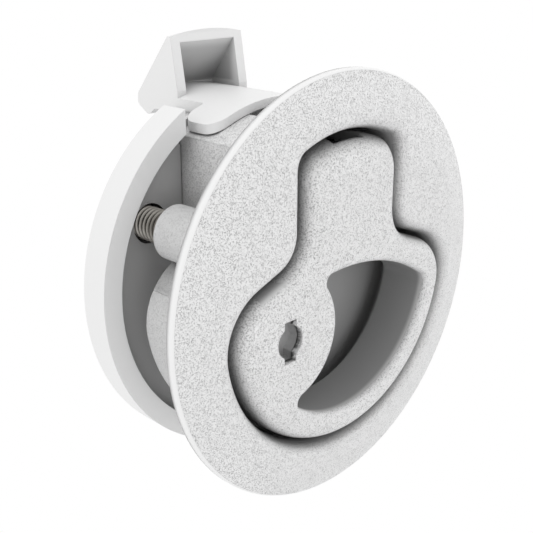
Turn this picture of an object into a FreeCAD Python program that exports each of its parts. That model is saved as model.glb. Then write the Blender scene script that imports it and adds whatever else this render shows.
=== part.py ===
import FreeCAD, Part
import math
import os
import Sketcher
from FreeCAD import Vector
from types import SimpleNamespace

# Push-to-close latch for a cupboard door.
# The origin is the centre of the seat behind the flange. The front faces -Y, the bolt points up (+Z)
# and +X is to the right as seen from the front. All lengths are millimetres, all angles degrees.

SIZES = {
    # round flange and the keyhole pocket in it
    "flange_radius": 31.75,
    "rim_thickness": 1.13,
    "rim_round": 0.5,
    "flange_thickness": 3.03,
    "face_land": 0.3,
    "pocket_radius": 23.3,
    "pocket_top_radius": 23.5,
    "pocket_depth": 8.3,
    "neck_half": 10.35,
    "shoulder_reach": 10.8,
    "shoulder_tilt": 21,
    "shoulder_round": 7.7,
    "root_round": 5.7,
    "corner_round": 2.0,
    "mouth_round": 1.3,
    "floor_round": 1.0,
    # body behind the flange
    "wall": 1.6,
    "floor_thickness": 2.0,
    "body_depth": 13.17,
    "neck_wall": 2.25,
    "cavity_top_radius": 23.1,
    "neck_bottom": 2.5,
    "neck_sill": 2.2,
    "neck_length": 26.6,
    "shelf_front": 22.5,
    "shelf_top": 12.5,
    "fork_slot_half": 6.2,
    "fork_slot_low": 10.0,
    "roof_slot_front": 10.6,
    "pin_lug_front": 15.6,
    "pin_lug_back": 20.3,
    "pin_lug_low": 19.2,
    "pin_lug_width": 2.6,
    "relief_side_gap": 0.25,
    "relief_depth": 1.0,
    "relief_run": 1.8,
    "boss_gap": 6.25,
    "boss_up": 9.9,
    "boss_radius": 3.95,
    # pull lever
    "lever_gap": 0.65,
    "lever_proud": 0.75,
    "lever_plate": 2.2,
    "lever_corner_round": 4.7,
    "lever_edge_round": 1.4,
    "lever_top_round": 4.2,
    "rim_wall": 1.6,
    "rim_back": 4.8,
    "rim_notch_gap": 0.6,
    "hinge_depth": 1.2,
    "hinge_up": 19.2,
    "hinge_wall": 2.5,
    "hinge_block_low": 15.5,
    "spring_bay_half": 3.2,
    "loop_radius": 18.0,
    "loop_web": 9.7,
    "loop_crown_across": -1.8,
    "loop_crown_top": 4.45,
    "loop_crown_radius": 33.4,
    "loop_tight_round": 1.1,
    "loop_wide_round": 2.0,
    "loop_edge_round": 0.9,
    "fork_outer_half": 5.0,
    "fork_inner_half": 3.3,
    "fork_low": 14.8,
    "fork_top_gap": 0.3,
    "cam_tilt": 23,
    "cam_thickness": 1.6,
    "cam_tail": 1.6,
    # pins
    "pin_radius": 1.25,
    "pin_clearance": 0.05,
    "pin_fit": 0.02,
    "pin_chamfer": 0.3,
    "lever_pin_end_wall": 0.3,
    "bolt_pin_end_wall": 0.35,
    # lever spring
    "lever_spring_radius": 2.0,
    "lever_spring_pitch": 0.8,
    "lever_spring_turns": 5.25,
    "spring_wire_radius": 0.3,
    "spring_leg_long": 6.8,
    "spring_leg_gap": 0.1,
    # slam bolt
    "plate_gap": 0.3,
    "plate_thickness": 1.25,
    "plate_front": 12.4,
    "plate_back": 19.9,
    "ear_half": 11.8,
    "ear_round": 2.6,
    "ear_root_round": 0.6,
    "arm_half": 7.2,
    "arm_start": 20.6,
    "arm_low": 23.15,
    "head_front": 25.9,
    "head_lean": 1.35,
    "head_radius": 35.1,
    "ridge_up": 34.6,
    "ramp_foot_depth": 35.67,
    "ramp_foot_up": 25.2,
    "nose_depth": 35.77,
    "nose_up": 23.6,
    "lip_depth": 33.17,
    "lip_up": 22.0,
    "lip_back_depth": 31.6,
    "lip_round": 0.9,
    "head_wall": 1.7,
    "hollow_back_depth": 32.3,
    "hollow_top_up": 33.4,
    "hub_half": 5.1,
    "hub_side_gap": 0.25,
    "hub_front": 14.9,
    "hub_back": 20.7,
    "hub_radius": 2.2,
    "hub_shoulder_up": 21.2,
    "bolt_axis_depth": 18.5,
    "bolt_axis_up": 21.5,
    "leg_half": 2.8,
    "leg_reach": 9.0,
    "leg_nose_radius": 1.1,
    "leg_length": 8.2,
    "leg_gap": 0.3,
    # bolt springs
    "bolt_spring_across": 4.4,
    "bolt_spring_depth": 24.4,
    "bolt_spring_radius": 1.75,
    "bolt_spring_turns": 5.5,
    "bolt_spring_end_gap": 0.05,
    "spring_peg_radius": 1.2,
    "spring_peg_height": 1.8,
    # clamp cup behind the panel
    "panel_thickness": 16.1,
    "cup_radius": 29.46,
    "cup_rim_width": 3.03,
    "cup_rim_depth": 2.77,
    "cup_floor": 2.5,
    "cup_edge_round": 0.8,
    "cup_opening_gap": 0.25,
    "cup_notch_half": 14.0,
    "cup_notch_low": 20.5,
    "cup_hole_radius": 2.94,
    # screws, washers and thread inserts
    "screw_radius": 2.5,
    "screw_length": 16.0,
    "screw_head_radius": 4.6,
    "screw_head_height": 3.2,
    "screw_head_round": 1.2,
    "recess_half": 2.3,
    "recess_slot_half": 0.55,
    "recess_depth": 1.6,
    "washer_inner": 2.65,
    "washer_outer": 4.9,
    "washer_thickness": 1.0,
    "insert_radius": 3.1,
    "insert_front": 5.2,
    "insert_fit": 0.02,
    # lock in the lever
    "lock_across": -13.5,
    "lock_up": -3.06,
    "key_eye_radius": 2.35,
    "key_slot_half": 1.15,
    "key_slot_reach": 3.075,
    "key_web": 1.03,
    "barrel_radius": 6.6,
    "barrel_back": 5.0,
    "plug_radius": 5.2,
    "plug_clearance": 0.1,
    "plug_end_gap": 0.05,
    "plug_shoulder": 3.9,
    "plug_neck_radius": 4.0,
    "plug_square_half": 2.6,
    "key_recess_depth": 1.4,
    "slit_half": 0.5,
    "ring_thickness": 0.7,
    "ring_side_gap": 0.05,
    "ring_inner": 4.3,
    "ring_outer": 5.9,
    "ring_gap_half": 1.3,
    "cam_plate_gap": 0.2,
    "cam_plate": 1.4,
    "cam_plate_hub": 4.2,
    "cam_plate_half": 2.2,
    "cam_plate_reach": 8.8,
    "cam_plate_round": 1.0,
    "cam_screw_radius": 1.2,
    "cam_screw_fit": 0.02,
    "cam_screw_length": 5.0,
    "cam_screw_head": 2.6,
    "cam_screw_head_height": 1.3,
    "lock_lug_width": 2.7,
    "lock_lug_gap": 0.3,
    "lock_lug_thickness": 1.7,
    # how far a cut runs past the face that it opens
    "overrun": 1.0,
}


class Size:
    """A number together with the sheet formula that gives it."""

    def __init__(self, value, formula):
        self.value = value
        self.formula = formula

    def join(self, other, sign, value):
        return Size(value, "(%s %s %s)" % (self.formula, sign, as_size(other).formula))

    def __add__(self, other):
        return self.join(other, "+", self.value + as_size(other).value)

    def __sub__(self, other):
        return self.join(other, "-", self.value - as_size(other).value)

    def __mul__(self, other):
        return self.join(other, "*", self.value * as_size(other).value)

    def __truediv__(self, other):
        return self.join(other, "/", self.value / as_size(other).value)

    def __neg__(self):
        return Size(-self.value, "(0 - %s)" % self.formula)


def as_size(number):
    return number if isinstance(number, Size) else Size(number, "%r" % number)


def sine(angle):
    return Size(math.sin(math.radians(angle.value)), "sin(%s * 1 deg)" % angle.formula)


def cosine(angle):
    return Size(math.cos(math.radians(angle.value)), "cos(%s * 1 deg)" % angle.formula)


doc = FreeCAD.newDocument("push_to_close_latch")
sheet = doc.addObject("Spreadsheet::Sheet", "sizes")
for row, (alias, number) in enumerate(SIZES.items(), 1):
    sheet.set("A%d" % row, alias.replace("_", " "))
    sheet.set("B%d" % row, "%r" % number)
    sheet.setAlias("B%d" % row, alias)
doc.recompute()
V = SimpleNamespace(**{alias: Size(number, "sizes." + alias) for alias, number in SIZES.items()})
ZERO = as_size(0)

# Places that several pieces share.
body_radius = V.pocket_radius + V.wall
neck_outer = V.neck_half + V.neck_wall
floor_back = V.pocket_depth + V.floor_thickness
lever_front = -(V.flange_thickness + V.lever_proud)
lever_back = lever_front + V.lever_plate
plate_inner = body_radius + V.plate_gap
plate_outer = plate_inner + V.plate_thickness
roof_slot_half = V.hub_half + V.hub_side_gap
pin_lug_outer = roof_slot_half + V.pin_lug_width
lever_pin_half = neck_outer - V.lever_pin_end_wall
bolt_pin_half = pin_lug_outer - V.bolt_pin_end_wall
fork_top = V.hinge_up - V.fork_top_gap - 0.1
boss_across = neck_outer + V.boss_gap
nose_up = V.bolt_axis_up - V.leg_reach
cup_floor_front = V.panel_thickness + V.cup_rim_depth
cup_back = cup_floor_front + V.cup_floor
screw_seat = cup_back + V.washer_thickness
screw_tip = screw_seat - V.screw_length
insert_hole = V.insert_radius + V.insert_fit
plug_front = lever_front + V.key_web + V.plug_end_gap
plug_bore = V.plug_radius + V.plug_clearance
ring_front = V.plug_shoulder + V.ring_side_gap * 2
ring_back = ring_front + V.ring_thickness
cam_plate_front = V.barrel_back + V.cam_plate_gap
cam_plate_back = cam_plate_front + V.cam_plate


def new_body(label):
    body = doc.addObject("PartDesign::Body", label)
    body.Label = label
    return body


def origin_plane(body, role):
    return [plane for plane in body.Origin.OriginFeatures if plane.Role == role][0]


def new_sketch(body, name, role, offset):
    """A sketch on one of the body's own planes, moved along that plane's normal."""
    sketch = body.newObject("Sketcher::SketchObject", name)
    sketch.AttachmentSupport = [(origin_plane(body, role), "")]
    sketch.MapMode = "FlatFace"
    height = -offset if role == "XZ_Plane" else offset
    sketch.setExpression("AttachmentOffset.Base.z", height.formula)
    return sketch


def bind(sketch, constraint, formula):
    index = sketch.addConstraint(constraint)
    sketch.setExpression("Constraints[%d]" % index, formula)


def fix_point(sketch, geometry, point, across, up):
    bind(sketch, Sketcher.Constraint("DistanceX", -1, 1, geometry, point, across.value), across.formula)
    bind(sketch, Sketcher.Constraint("DistanceY", -1, 1, geometry, point, up.value), up.formula)


def fix_radius(sketch, geometry, radius):
    bind(sketch, Sketcher.Constraint("Radius", geometry, radius.value), radius.formula)


def line(sketch, start, end):
    return sketch.addGeometry(Part.LineSegment(start, end), False)


def arc(sketch, centre, radius, start, end):
    whole = Part.Circle(centre, Vector(0, 0, 1), radius)
    return sketch.addGeometry(Part.ArcOfCircle(whole, start, end), False)


def meet(sketch, first, first_point, second, second_point):
    sketch.addConstraint(Sketcher.Constraint("Coincident", first, first_point, second, second_point))


def smooth(sketch, first, first_point, second, second_point):
    sketch.addConstraint(Sketcher.Constraint("Tangent", first, first_point, second, second_point))


def circle(across, up, radius):
    def draw(sketch):
        centre = Vector(across.value, up.value, 0)
        index = sketch.addGeometry(Part.Circle(centre, Vector(0, 0, 1), radius.value), False)
        fix_radius(sketch, index, radius)
        fix_point(sketch, index, 3, across, up)
    return draw


def polygon(corners):
    def draw(sketch):
        points = [Vector(across.value, up.value, 0) for across, up in corners]
        count = len(points)
        first = [line(sketch, points[i], points[(i + 1) % count]) for i in range(count)][0]
        for i, (across, up) in enumerate(corners):
            meet(sketch, first + i, 2, first + (i + 1) % count, 1)
            fix_point(sketch, first + i, 1, across, up)
    return draw


def rectangle(left, right, low, high):
    return polygon([(left, low), (right, low), (right, high), (left, high)])


def several(*drawings):
    def draw(sketch):
        for drawing in drawings:
            drawing(sketch)
    return draw


def dome(half, low, radius):
    """A flat bottom, two upright sides and a round top centred on the origin."""
    def draw(sketch):
        side = math.sqrt(radius.value ** 2 - half.value ** 2)
        angle = math.atan2(side, half.value)
        right_low = Vector(half.value, low.value, 0)
        left_low = Vector(-half.value, low.value, 0)
        right_high = Vector(half.value, side, 0)
        left_high = Vector(-half.value, side, 0)
        base = line(sketch, left_low, right_low)
        right = line(sketch, right_low, right_high)
        crown = arc(sketch, Vector(0, 0, 0), radius.value, angle, math.pi - angle)
        left = line(sketch, left_high, left_low)
        meet(sketch, base, 2, right, 1)
        meet(sketch, right, 2, crown, 1)
        meet(sketch, crown, 2, left, 1)
        meet(sketch, left, 2, base, 1)
        sketch.addConstraint(Sketcher.Constraint("Vertical", right))
        sketch.addConstraint(Sketcher.Constraint("Vertical", left))
        meet(sketch, crown, 3, -1, 1)
        fix_radius(sketch, crown, radius)
        fix_point(sketch, base, 1, -half, low)
        fix_point(sketch, base, 2, half, low)
    return draw


def arch(half, inner, outer):
    """A curved strip between two radii about the origin, with upright ends."""
    def draw(sketch):
        low = math.sqrt(inner.value ** 2 - half.value ** 2)
        high = math.sqrt(outer.value ** 2 - half.value ** 2)
        low_angle = math.atan2(low, half.value)
        high_angle = math.atan2(high, half.value)
        under = arc(sketch, Vector(0, 0, 0), inner.value, low_angle, math.pi - low_angle)
        over = arc(sketch, Vector(0, 0, 0), outer.value, high_angle, math.pi - high_angle)
        right = line(sketch, Vector(half.value, low, 0), Vector(half.value, high, 0))
        left = line(sketch, Vector(-half.value, high, 0), Vector(-half.value, low, 0))
        meet(sketch, under, 1, right, 1)
        meet(sketch, right, 2, over, 1)
        meet(sketch, over, 2, left, 1)
        meet(sketch, left, 2, under, 2)
        for strip, radius in ((under, inner), (over, outer)):
            meet(sketch, strip, 3, -1, 1)
            fix_radius(sketch, strip, radius)
        for end, across in ((right, half), (left, -half)):
            sketch.addConstraint(Sketcher.Constraint("Vertical", end))
            bind(sketch, Sketcher.Constraint("DistanceX", -1, 1, end, 1, across.value), across.formula)
    return draw


def bowl(radius, chord):
    """The part of a disc about the origin that lies below a level chord."""
    def draw(sketch):
        angle = math.asin(chord.value / radius.value)
        side = math.sqrt(radius.value ** 2 - chord.value ** 2)
        rim = arc(sketch, Vector(0, 0, 0), radius.value, math.pi - angle, 2 * math.pi + angle)
        lid = line(sketch, Vector(side, chord.value, 0), Vector(-side, chord.value, 0))
        meet(sketch, rim, 2, lid, 1)
        meet(sketch, rim, 1, lid, 2)
        meet(sketch, rim, 3, -1, 1)
        fix_radius(sketch, rim, radius)
        sketch.addConstraint(Sketcher.Constraint("Horizontal", lid))
        bind(sketch, Sketcher.Constraint("DistanceY", -1, 1, lid, 1, chord.value), chord.formula)
    return draw


def half_keyhole(grow, corner):
    """Right half of the keyhole outline: round lobe, sloping shoulder and neck with a round top."""
    def draw(sketch):
        lobe = V.pocket_radius + grow
        top = V.pocket_top_radius + grow
        neck = V.neck_half + grow
        reach = V.shoulder_reach + grow
        convex = V.shoulder_round + grow
        concave = V.root_round - grow
        tilt = math.radians(V.shoulder_tilt.value)
        outward = Vector(math.sin(tilt), math.cos(tilt), 0)
        along = Vector(math.cos(tilt), -math.sin(tilt), 0)
        lift = reach.value - convex.value
        spare = lobe.value - convex.value
        shoulder_centre = outward * lift + along * math.sqrt(spare ** 2 - lift ** 2)
        shoulder_start = math.atan2(shoulder_centre.y, shoulder_centre.x)
        inner = neck.value + concave.value
        root_centre = Vector(inner, (reach.value + concave.value - outward.x * inner) / outward.y, 0)
        corner_across = neck.value - corner.value
        corner_up = math.sqrt((top.value - corner.value) ** 2 - corner_across ** 2)
        corner_end = math.atan2(corner_up, corner_across)
        origin = Vector(0, 0, 0)
        quarter = math.pi / 2
        lower = arc(sketch, origin, lobe.value, -quarter, shoulder_start)
        shoulder = arc(sketch, shoulder_centre, convex.value, shoulder_start, quarter - tilt)
        slope_start = shoulder_centre + outward * convex.value
        slope = line(sketch, slope_start, root_centre - outward * concave.value)
        root = arc(sketch, root_centre, concave.value, math.pi, 3 * quarter - tilt)
        side = line(sketch, Vector(neck.value, root_centre.y, 0), Vector(neck.value, corner_up, 0))
        turn = arc(sketch, Vector(corner_across, corner_up, 0), corner.value, 0, corner_end)
        crown = arc(sketch, origin, top.value, corner_end, quarter)
        middle = line(sketch, Vector(0, top.value, 0), Vector(0, -lobe.value, 0))
        smooth(sketch, lower, 2, shoulder, 1)
        smooth(sketch, shoulder, 2, slope, 1)
        smooth(sketch, slope, 2, root, 2)
        smooth(sketch, root, 1, side, 1)
        smooth(sketch, side, 2, turn, 1)
        smooth(sketch, turn, 2, crown, 1)
        meet(sketch, crown, 2, middle, 1)
        meet(sketch, middle, 2, lower, 1)
        meet(sketch, lower, 3, -1, 1)
        meet(sketch, crown, 3, -1, 1)
        for radius, index in ((lobe, lower), (convex, shoulder), (concave, root), (corner, turn), (top, crown)):
            fix_radius(sketch, index, radius)
        sketch.addConstraint(Sketcher.Constraint("Vertical", side))
        bind(sketch, Sketcher.Constraint("DistanceX", -1, 1, side, 1, neck.value), neck.formula)
        bind(sketch, Sketcher.Constraint("Angle", slope, math.pi - tilt),
             "180 deg - %s * 1 deg" % V.shoulder_tilt.formula)
        bind(sketch, Sketcher.Constraint("Distance", -1, 1, slope, reach.value), reach.formula)
        sketch.addConstraint(Sketcher.Constraint("PointOnObject", middle, 1, -2))
        sketch.addConstraint(Sketcher.Constraint("PointOnObject", middle, 2, -2))
    return draw


def crossing(first, second, upper):
    """Where two circles (centre across, centre up, radius) cross, the upper or the lower point."""
    start = Vector(first[0].value, first[1].value, 0)
    gap = Vector(second[0].value, second[1].value, 0) - start
    distance = gap.Length
    reach = (first[2].value ** 2 - second[2].value ** 2 + distance ** 2) / (2 * distance)
    rise = math.sqrt(first[2].value ** 2 - reach ** 2)
    gap.normalize()
    sideways = Vector(-gap.y, gap.x, 0) * rise
    points = [start + gap * reach + sideways, start + gap * reach - sideways]
    return max(points, key=lambda p: p.y) if upper else min(points, key=lambda p: p.y)


loop_outer = (ZERO, ZERO, V.loop_radius)
loop_web = (V.lock_across, V.lock_up, V.loop_web)
loop_crown = (V.loop_crown_across, V.loop_crown_top - V.loop_crown_radius, V.loop_crown_radius)


def grown(ring, grow):
    return (ring[0], ring[1], ring[2] + grow)


def loop_corners(grow):
    """The finger hole's three corners: beside the lock, at the foot of the web and at the right."""
    outer, web, crown = grown(loop_outer, grow), grown(loop_web, -grow), grown(loop_crown, grow)
    left = crossing(web, crown, True)
    foot = crossing(outer, web, False)
    right = max((crossing(outer, crown, upper) for upper in (True, False)), key=lambda p: p.x)
    return left, foot, right


def inside_loop(edge):
    """Whether an edge lies within the finger hole's outer arc and clear of the lever's rim."""
    centre = edge.BoundBox.Center
    reach = max(math.hypot(v.X, v.Z) for v in edge.Vertexes)
    low = centre.z < V.hinge_block_low.value / 2
    return low and reach < V.loop_radius.value + 0.01


def finger_loop(grow):
    """The finger hole: the loop's inner arc, the web round the lock and the arched upper edge."""
    def draw(sketch):
        left, foot, right = loop_corners(grow)
        spans = [
            (grown(loop_outer, grow), foot, right),
            (grown(loop_crown, grow), right, left),
            (grown(loop_web, -grow), foot, left),
        ]
        edges = []
        for ring, start, end in spans:
            centre = Vector(ring[0].value, ring[1].value, 0)
            from_angle = math.atan2(start.y - centre.y, start.x - centre.x)
            to_angle = math.atan2(end.y - centre.y, end.x - centre.x)
            if to_angle < from_angle:
                to_angle += 2 * math.pi
            edge = arc(sketch, centre, ring[2].value, from_angle, to_angle)
            fix_radius(sketch, edge, ring[2])
            fix_point(sketch, edge, 3, ring[0], ring[1])
            edges.append(edge)
        meet(sketch, edges[0], 2, edges[1], 1)
        meet(sketch, edges[1], 2, edges[2], 2)
        meet(sketch, edges[0], 1, edges[2], 1)
    return draw


def volume(body):
    return 0 if body.Tip is None else body.Shape.Volume


def settle(body, before, cut):
    doc.recompute()
    grown = volume(body) - before
    if (cut and grown > -1e-3) or (not cut and grown < 1e-3):
        raise RuntimeError("%s: %s changes nothing" % (body.Label, body.Tip.Name))


def slab(body, name, role, draw, low, high, cut=False, mirrored=False):
    """Pad or pocket an outline from low to high along the plane's own axis."""
    before = volume(body)
    sketch = new_sketch(body, name + "_outline", role, low)
    draw(sketch)
    feature = body.newObject("PartDesign::Pocket" if cut else "PartDesign::Pad", name)
    feature.Profile = sketch
    feature.setExpression("Length", (high - low).formula)
    feature.Reversed = cut != (role == "XZ_Plane")
    body.Tip = feature
    doc.recompute()
    if mirrored:
        twin = body.newObject("PartDesign::Mirrored", name + "_twin")
        twin.Originals = [feature]
        twin.MirrorPlane = (origin_plane(body, "YZ_Plane"), [""])
        body.Tip = twin
    settle(body, before, cut)


def front_slab(body, name, draw, low, high, **options):
    slab(body, name, "XZ_Plane", draw, low, high, **options)


def side_slab(body, name, draw, low, high, **options):
    slab(body, name, "YZ_Plane", draw, low, high, **options)


def turned(body, name, corners):
    """Revolve a profile of (depth, radius) corners about the Y axis."""
    before = volume(body)
    sketch = new_sketch(body, name + "_outline", "YZ_Plane", ZERO)
    polygon(corners)(sketch)
    feature = body.newObject("PartDesign::Revolution", name)
    feature.Profile = sketch
    feature.ReferenceAxis = (sketch, ["H_Axis"])
    feature.Angle = 360
    body.Tip = feature
    settle(body, before, False)


def outside_corner(front, top, radius):
    """What a round takes off a front upper corner, drawn as depth and height."""
    def draw(sketch):
        corners = [
            (front - 1, top - radius),
            (front, top - radius),
            (front + radius, top),
            (front + radius, top + 1),
            (front - 1, top + 1),
        ]
        a, b, c, d, e = [Vector(depth.value, up.value, 0) for depth, up in corners]
        centre = Vector(c.x, b.y, 0)
        edges = [line(sketch, a, b), arc(sketch, centre, radius.value, math.pi / 2, math.pi)]
        edges += [line(sketch, c, d), line(sketch, d, e), line(sketch, e, a)]
        ends = [(0, 2, 1, 2), (1, 1, 2, 1), (2, 2, 3, 1), (3, 2, 4, 1), (4, 2, 0, 1)]
        for first, first_point, second, second_point in ends:
            meet(sketch, edges[first], first_point, edges[second], second_point)
        for edge, point, corner in ((0, 1, 0), (0, 2, 1), (2, 1, 2), (3, 1, 3), (4, 1, 4)):
            fix_point(sketch, edges[edge], point, *corners[corner])
        fix_radius(sketch, edges[1], radius)
    return draw


def groove(body, name, draw, sweep):
    """Turn an outline about the Y axis through part of a circle and cut it away."""
    before = volume(body)
    sketch = new_sketch(body, name + "_outline", "YZ_Plane", ZERO)
    draw(sketch)
    feature = body.newObject("PartDesign::Groove", name)
    feature.Profile = sketch
    feature.ReferenceAxis = (sketch, ["H_Axis"])
    feature.Angle = sweep
    feature.Midplane = True
    body.Tip = feature
    settle(body, before, True)


def dress(body, name, kind, size, chosen):
    """Fillet or chamfer the edges of the body that the test chooses."""
    base = body.Tip
    names = ["Edge%d" % (i + 1) for i, edge in enumerate(base.Shape.Edges) if chosen(edge)]
    feature = body.newObject("PartDesign::" + kind, name)
    feature.Base = (base, names)
    feature.setExpression("Radius" if kind == "Fillet" else "Size", size.formula)
    body.Tip = feature
    doc.recompute()
    if "Invalid" in feature.State:
        raise RuntimeError("%s: %s on %d edges fails" % (body.Label, name, len(names)))


def level(edge, axis, at):
    """Whether the whole edge lies at one height along an axis."""
    box = edge.BoundBox
    low, high = {"x": (box.XMin, box.XMax), "y": (box.YMin, box.YMax), "z": (box.ZMin, box.ZMax)}[axis]
    return abs(low - at.value) < 1e-4 and abs(high - at.value) < 1e-4


def upright(edge, across, up):
    """Whether the edge runs along Y through the point (across, up)."""
    box = edge.BoundBox
    centre = box.Center
    thin = box.XLength < 1e-4 and box.ZLength < 1e-4
    return thin and math.hypot(centre.x - across, centre.z - up) < 0.02


def seat(piece, across, depth, up):
    """Place a piece that was drawn about its own axis."""
    for axis, size in (("x", across), ("y", depth), ("z", up)):
        piece.setExpression("Placement.Base." + axis, size.formula)
    doc.recompute()


# The moulded housing: flange, keyhole pocket, neck box and two screw bosses.
housing = new_body("flange_housing")
face_radius = V.pocket_radius + V.mouth_round + V.face_land
turned(housing, "flange", [
    (ZERO, ZERO),
    (ZERO, V.flange_radius),
    (-V.rim_thickness, V.flange_radius),
    (-V.flange_thickness, face_radius),
    (-V.flange_thickness, ZERO),
])
dress(housing, "flange_rim_round", "Fillet", V.rim_round, lambda e: level(e, "y", -V.rim_thickness))
front_slab(housing, "lobe", half_keyhole(V.wall, V.corner_round + V.wall), ZERO, V.body_depth, mirrored=True)
front_slab(housing, "neck_box", dome(neck_outer, V.neck_bottom, body_radius), ZERO, V.neck_length)
bosses = several(
    circle(boss_across, V.boss_up, V.boss_radius),
    circle(-boss_across, V.boss_up, V.boss_radius),
)
front_slab(housing, "bosses", bosses, ZERO, V.body_depth)
front_slab(housing, "pocket", half_keyhole(ZERO, V.corner_round), -(V.flange_thickness + V.overrun), V.pocket_depth,
           cut=True, mirrored=True)
mouth = lambda e: level(e, "y", -V.flange_thickness) and e.BoundBox.XMax < V.pocket_radius.value + 0.01
dress(housing, "mouth_round", "Fillet", V.mouth_round, mouth)
dress(housing, "floor_round", "Fillet", V.floor_round,
      lambda e: level(e, "y", V.pocket_depth))
front_slab(housing, "rear_hollow", bowl(V.pocket_radius, V.neck_bottom), floor_back, V.body_depth + V.overrun, cut=True)
cavity_low = V.neck_bottom + V.neck_sill
front_slab(housing, "cavity", dome(V.neck_half, cavity_low, V.cavity_top_radius), floor_back, V.shelf_front,
           cut=True)
front_slab(housing, "rear_window", dome(V.neck_half, V.shelf_top, V.cavity_top_radius), V.shelf_front,
           V.neck_length + V.overrun, cut=True)
for name, side in (("left_pin_lug", -1), ("right_pin_lug", 1)):
    ends = sorted((roof_slot_half * side, pin_lug_outer * side), key=lambda size: size.value)
    lug = rectangle(V.pin_lug_front, V.pin_lug_back, V.pin_lug_low, V.cavity_top_radius)
    side_slab(housing, name, lug, ends[0], ends[1])
roof_top = body_radius + 1
slot = rectangle(-roof_slot_half, roof_slot_half, V.bolt_axis_up, roof_top)
front_slab(housing, "roof_slot", slot, V.roof_slot_front, V.pin_lug_back, cut=True)
arm_slot_half = V.arm_half + V.hub_side_gap + 0.15
arm_slot = rectangle(-arm_slot_half, arm_slot_half, V.shelf_top, roof_top)
front_slab(housing, "arm_slot", arm_slot, V.pin_lug_back, V.neck_length + V.overrun, cut=True)
relief = arch(V.ear_half + V.relief_side_gap, body_radius - V.relief_depth, body_radius + 0.5)
front_slab(housing, "ear_relief", relief, V.bolt_axis_depth, V.plate_back + V.relief_run, cut=True)
fork_slot = rectangle(-V.fork_slot_half, V.fork_slot_half, V.fork_slot_low, fork_top + V.fork_top_gap)
front_slab(housing, "fork_slot", fork_slot, V.pocket_depth - V.overrun, floor_back + V.overrun, cut=True)
boss_holes = several(
    circle(boss_across, V.boss_up, insert_hole),
    circle(-boss_across, V.boss_up, insert_hole),
)
front_slab(housing, "boss_holes", boss_holes, V.insert_front - V.insert_fit, V.body_depth + V.overrun, cut=True)
lug_back = cam_plate_front - V.lock_lug_gap
lug_outer = -(V.pocket_radius + V.wall / 2)
lock_lug = rectangle(lug_outer, V.lock_lug_width - V.pocket_radius, V.lock_up - V.cam_plate_half,
                     V.lock_up + V.cam_plate_half)
front_slab(housing, "lock_lug", lock_lug, lug_back - V.lock_lug_thickness, lug_back)
pin_hole = V.pin_radius + V.pin_fit
lever_bore = circle(V.hinge_depth, V.hinge_up, pin_hole)
side_slab(housing, "lever_pin_bore", lever_bore, -lever_pin_half, neck_outer + 1, cut=True)
bolt_bore = circle(V.bolt_axis_depth, V.bolt_axis_up, pin_hole)
side_slab(housing, "bolt_pin_bore", bolt_bore, -bolt_pin_half, pin_lug_outer + 1, cut=True)
pegs = several(
    circle(V.bolt_spring_across, V.bolt_spring_depth, V.spring_peg_radius),
    circle(-V.bolt_spring_across, V.bolt_spring_depth, V.spring_peg_radius),
)
slab(housing, "spring_pegs", "XY_Plane", pegs, V.shelf_top, V.shelf_top + V.spring_peg_height)

# The pull lever: flush plate with a finger loop, lock barrel, hinge block and rear fork.
lever = new_body("pull_lever")
front_slab(lever, "plate", half_keyhole(-V.lever_gap, V.lever_corner_round), lever_front, lever_back, mirrored=True)
front_slab(lever, "rim", half_keyhole(-V.lever_gap, V.lever_corner_round), lever_back, V.rim_back, mirrored=True)
rim_inside = half_keyhole(-V.lever_gap - V.rim_wall, V.lever_corner_round - V.rim_wall)
front_slab(lever, "rim_hollow", rim_inside, lever_back, V.rim_back + V.overrun, cut=True, mirrored=True)
block_back = V.hinge_depth + V.hinge_wall
block_inset = V.lever_gap + V.rim_wall / 2
hinge_block = dome(V.neck_half - block_inset, V.hinge_block_low, V.pocket_top_radius - block_inset)
front_slab(lever, "hinge_block", hinge_block, lever_back, block_back)
dress(lever, "edge_round", "Fillet", V.lever_edge_round, lambda e: level(e, "y", lever_front))
groove(lever, "top_round", outside_corner(lever_front, V.pocket_top_radius - V.lever_gap, V.lever_top_round), 64)
front_slab(lever, "loop_wall", finger_loop(V.rim_wall), lever_back, V.rim_back)
front_slab(lever, "finger_hole", finger_loop(ZERO), lever_front - V.overrun, V.rim_back + V.overrun, cut=True)
left_corner, foot_corner, right_corner = loop_corners(ZERO)
dress(lever, "loop_tight_rounds", "Fillet", V.loop_tight_round,
      lambda e: upright(e, left_corner.x, left_corner.y) or upright(e, foot_corner.x, foot_corner.y))
dress(lever, "loop_wide_round", "Fillet", V.loop_wide_round,
      lambda e: upright(e, right_corner.x, right_corner.y))
dress(lever, "loop_edge_round", "Fillet", V.loop_edge_round,
      lambda e: level(e, "y", lever_front) and inside_loop(e))
front_slab(lever, "barrel", circle(V.lock_across, V.lock_up, V.barrel_radius), lever_back, V.barrel_back)
plug_hole = circle(V.lock_across, V.lock_up, plug_bore)
front_slab(lever, "plug_bore", plug_hole, lever_front + V.key_web, V.barrel_back + 1, cut=True)
ring_groove = circle(V.lock_across, V.lock_up, V.ring_outer + V.ring_side_gap)
front_slab(lever, "ring_groove", ring_groove, ring_front - V.ring_side_gap, ring_back + V.ring_side_gap, cut=True)
key_eye = circle(V.lock_across, V.lock_up, V.key_eye_radius)
front_slab(lever, "key_eye", key_eye, lever_front - V.overrun, lever_front + V.key_web + V.plug_clearance, cut=True)
key_slot = rectangle(V.lock_across - V.key_slot_half, V.lock_across + V.key_slot_half,
                     V.lock_up - V.key_slot_reach, V.lock_up + V.key_slot_reach)
front_slab(lever, "key_slot", key_slot, lever_front - V.overrun, lever_front + V.key_web + V.plug_clearance, cut=True)
notch_gap = V.cam_plate_half + V.rim_notch_gap
rim_notch = rectangle(-V.pocket_radius, V.lock_lug_width + V.rim_notch_gap - V.pocket_radius,
                      V.lock_up - notch_gap, V.lock_up + notch_gap)
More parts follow.
